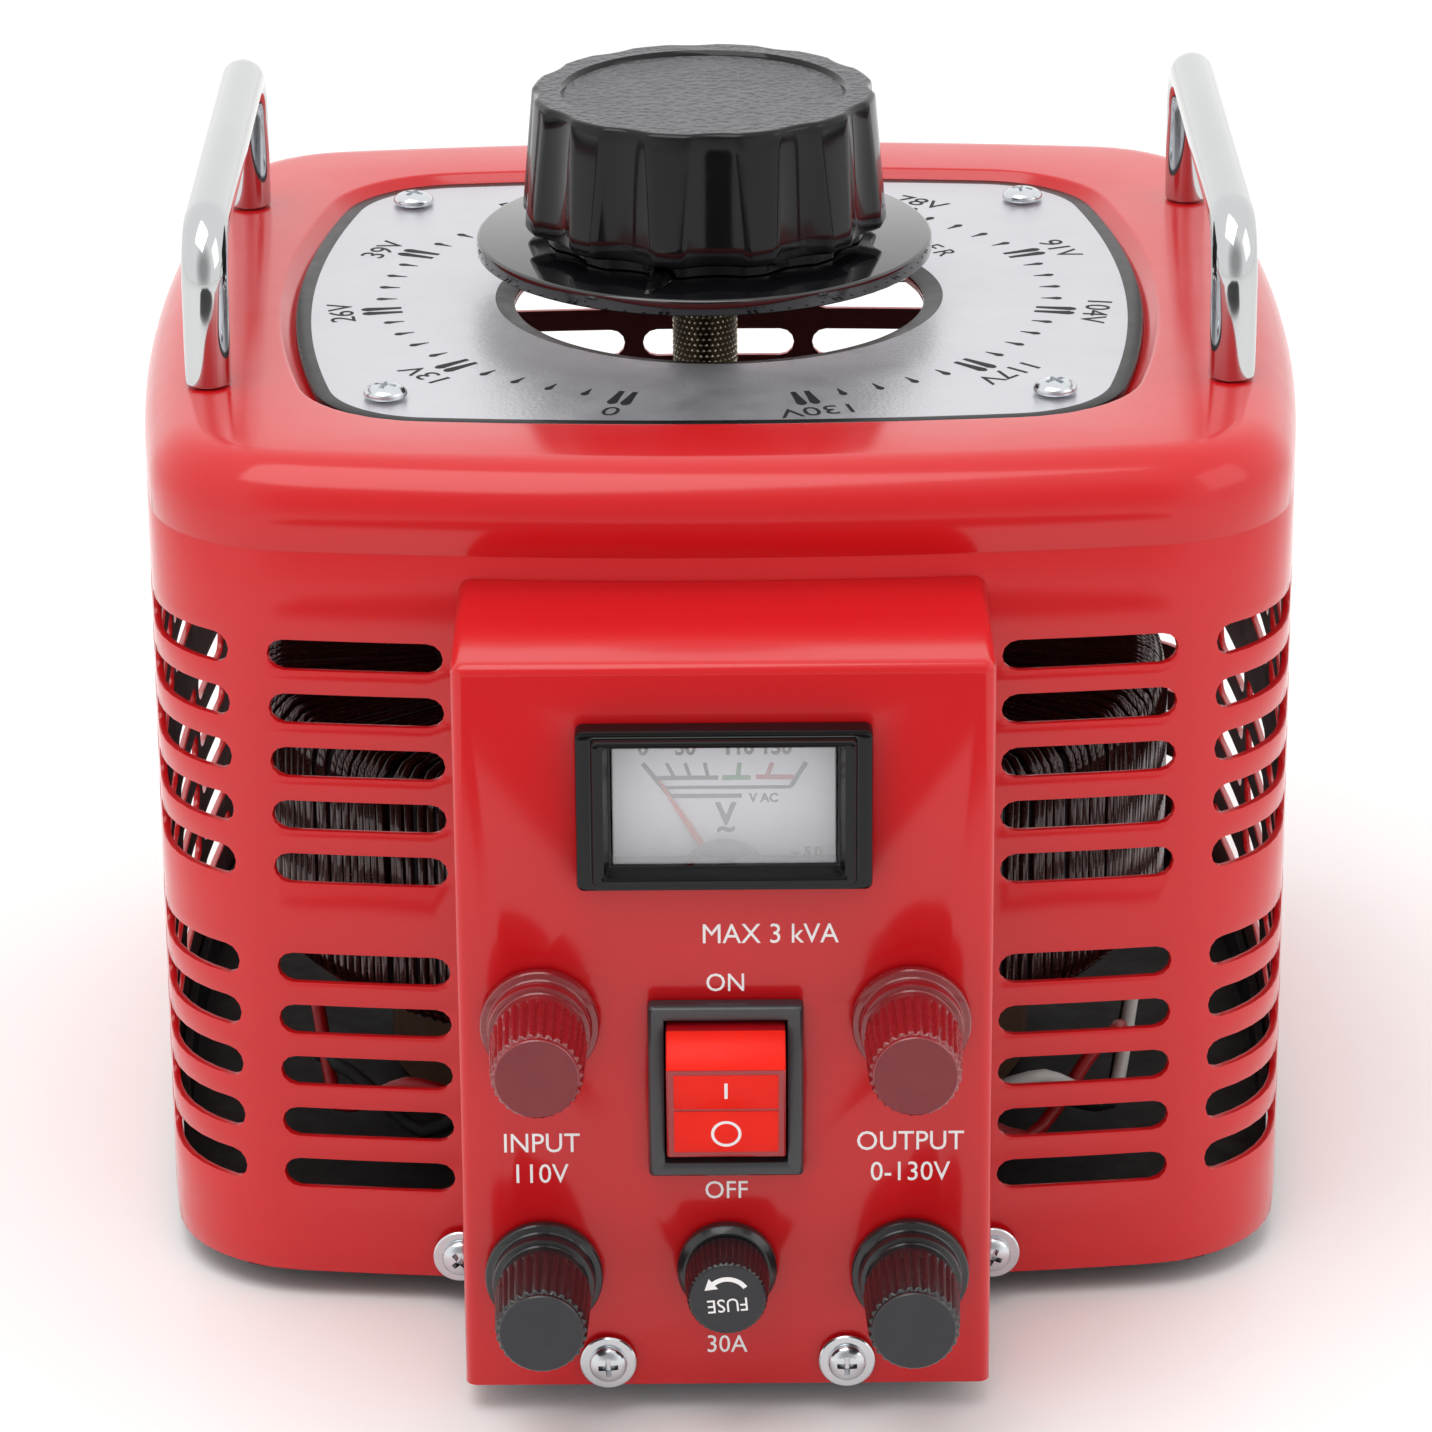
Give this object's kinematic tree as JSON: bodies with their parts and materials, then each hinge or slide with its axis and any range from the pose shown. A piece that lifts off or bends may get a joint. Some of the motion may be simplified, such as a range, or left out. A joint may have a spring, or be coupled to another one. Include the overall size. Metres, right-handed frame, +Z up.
{
  "type": "variable autotransformer",
  "caption": "Bench variable autotransformer: louvred square steel case round a toroidal coil, fluted dial on top, front box with meter, rocker switch, binding posts and fuse.",
  "frame": {"origin": "on the bench under the rubber feet, at the middle of the object's box", "axes": "+Z up, -Y towards the user and the control box, +X to the user's right"},
  "size_m": [0.2044, 0.2658, 0.1906],
  "materials": {
    "red_enamel": "glossy stove enamel",
    "zinc": "bright zinc plate",
    "chrome": "polished",
    "silver_plate": "fine wrinkle, printed",
    "rubber": "matt",
    "black_phenolic": "glossy moulding",
    "red_moulding": "glossy moulding",
    "lens": "translucent moulding",
    "brass": "turned",
    "enamelled_wire": "varnished winding",
    "core_steel": "varnished",
    "fibre": "pressed board",
    "cast_aluminium": "as cast",
    "carbon": "pressed carbon",
    "meter_white": "printed card",
    "grey_cover": "translucent moulding",
    "clear_acrylic": "polished",
    "fuse_glass": "polished",
    "needle_red": "satin"
  },
  "bodies": {
    "case": {"case_cover": "red_enamel", "base_plate": "red_enamel", "control_box": "red_enamel", "panel_bracket": "zinc", "foot_front_left": "rubber", "foot_front_right": "rubber", "foot_back_left": "rubber", "foot_back_right": "rubber", "dial_plate": "silver_plate", "dial_screw_front_left": "zinc", "dial_screw_front_right": "zinc", "dial_screw_back_left": "zinc", "dial_screw_back_right": "zinc", "panel_screw_left": "zinc", "panel_screw_right": "zinc", "case_screw_left": "zinc", "case_screw_right": "zinc", "handle_left": "chrome", "handle_right": "chrome", "toroid_core": "core_steel", "coil_winding": "enamelled_wire", "coil_stand_ring": "fibre", "coil_clamp": "fibre", "bearing_bush": "brass", "post_base_upper_left": "red_moulding", "post_base_upper_right": "red_moulding", "post_base_lower_left": "black_phenolic", "post_base_lower_right": "black_phenolic", "post_stud_upper_left": "brass", "post_stud_upper_right": "brass", "post_stud_lower_left": "brass", "post_stud_lower_right": "brass", "switch_body": "black_phenolic", "fuse_holder": "black_phenolic", "meter_case": "black_phenolic", "meter_dial": "meter_white", "meter_hub": "grey_cover", "meter_window": "clear_acrylic"},
    "rotor": {"dial_shaft": "zinc", "knurled_collar": "brass", "pointer_disc": "black_phenolic", "dial_knob": "black_phenolic", "knob_grub_screw": "zinc", "brush_arm": "cast_aluminium", "brush_holder": "cast_aluminium"},
    "brush": {"carbon_brush": "carbon"},
    "rocker": {"switch_rocker": "lens"},
    "needle": {"meter_needle": "needle_red"},
    "fuse_cartridge": {"fuse_link": "fuse_glass"},
    "fuse_cap": {"fuse_cap": "black_phenolic"},
    "post_nut_upper_left": {"post_insert_upper_left": "brass"},
    "post_cap_upper_left": {"post_cap_upper_left": "red_moulding"},
    "post_nut_upper_right": {"post_insert_upper_right": "brass"},
    "post_cap_upper_right": {"post_cap_upper_right": "red_moulding"},
    "post_nut_lower_left": {"post_insert_lower_left": "brass"},
    "post_cap_lower_left": {"post_cap_lower_left": "black_phenolic"},
    "post_nut_lower_right": {"post_insert_lower_right": "brass"},
    "post_cap_lower_right": {"post_cap_lower_right": "black_phenolic"}
  },
  "joints": [
    {"name": "dial_turn", "type": "hinge", "parent": "case", "child": "rotor", "pos_m": [-0.0026, 0.03065, 0.15], "axis": [0, 0, -1], "range_deg": [0, 330]},
    {"name": "brush_spring_slide", "type": "slide", "parent": "rotor", "child": "brush", "axis": [0, 0, 1], "range_m": [0, 0.002], "stiffness_N_per_m": 300, "springref_m": -0.004},
    {"name": "rocker_tilt", "type": "hinge", "parent": "case", "child": "rocker", "pos_m": [0, -0.10885, 0.0602], "axis": [-1, 0, 0], "range_deg": [0, 30]},
    {"name": "needle_swing", "type": "hinge", "parent": "case", "child": "needle", "pos_m": [0, -0.10605, 0.095], "axis": [0, 1, 0], "range_deg": [0, 62], "stiffness_Nm_per_rad": 0.0002, "springref_deg": -5.73},
    {"name": "fuse_slide", "type": "slide", "parent": "case", "child": "fuse_cartridge", "axis": [0, -1, 0], "range_m": [0, 0.035]},
    {"name": "fuse_cap_turn", "type": "hinge", "parent": "fuse_cartridge", "child": "fuse_cap", "pos_m": [0, -0.11035, 0.0272], "axis": [0, 1, 0], "range_deg": [0, 90]},
    {"name": "post_travel_upper_left", "type": "slide", "parent": "case", "child": "post_nut_upper_left", "axis": [0, -1, 0], "range_m": [0, 0.006]},
    {"name": "post_turn_upper_left", "type": "hinge", "parent": "post_nut_upper_left", "child": "post_cap_upper_left", "pos_m": [-0.0305, -0.11035, 0.0718], "axis": [0, -1, 0], "range_deg": [0, 2160]},
    {"name": "post_travel_upper_right", "type": "slide", "parent": "case", "child": "post_nut_upper_right", "axis": [0, -1, 0], "range_m": [0, 0.006]},
    {"name": "post_turn_upper_right", "type": "hinge", "parent": "post_nut_upper_right", "child": "post_cap_upper_right", "pos_m": [0.0305, -0.11035, 0.0718], "axis": [0, -1, 0], "range_deg": [0, 2160]},
    {"name": "post_travel_lower_left", "type": "slide", "parent": "case", "child": "post_nut_lower_left", "axis": [0, -1, 0], "range_m": [0, 0.006]},
    {"name": "post_turn_lower_left", "type": "hinge", "parent": "post_nut_lower_left", "child": "post_cap_lower_left", "pos_m": [-0.0305, -0.11035, 0.026], "axis": [0, -1, 0], "range_deg": [0, 2160]},
    {"name": "post_travel_lower_right", "type": "slide", "parent": "case", "child": "post_nut_lower_right", "axis": [0, -1, 0], "range_m": [0, 0.006]},
    {"name": "post_turn_lower_right", "type": "hinge", "parent": "post_nut_lower_right", "child": "post_cap_lower_right", "pos_m": [0.0305, -0.11035, 0.026], "axis": [0, -1, 0], "range_deg": [0, 2160]}
  ],
  "couplings": [
    {"joint": "post_turn_upper_left", "follows": "post_travel_upper_left", "rad_per_m": 6283.2},
    {"joint": "post_turn_upper_right", "follows": "post_travel_upper_right", "rad_per_m": 6283.2},
    {"joint": "post_turn_lower_left", "follows": "post_travel_lower_left", "rad_per_m": 6283.2},
    {"joint": "post_turn_lower_right", "follows": "post_travel_lower_right", "rad_per_m": 6283.2}
  ]
}
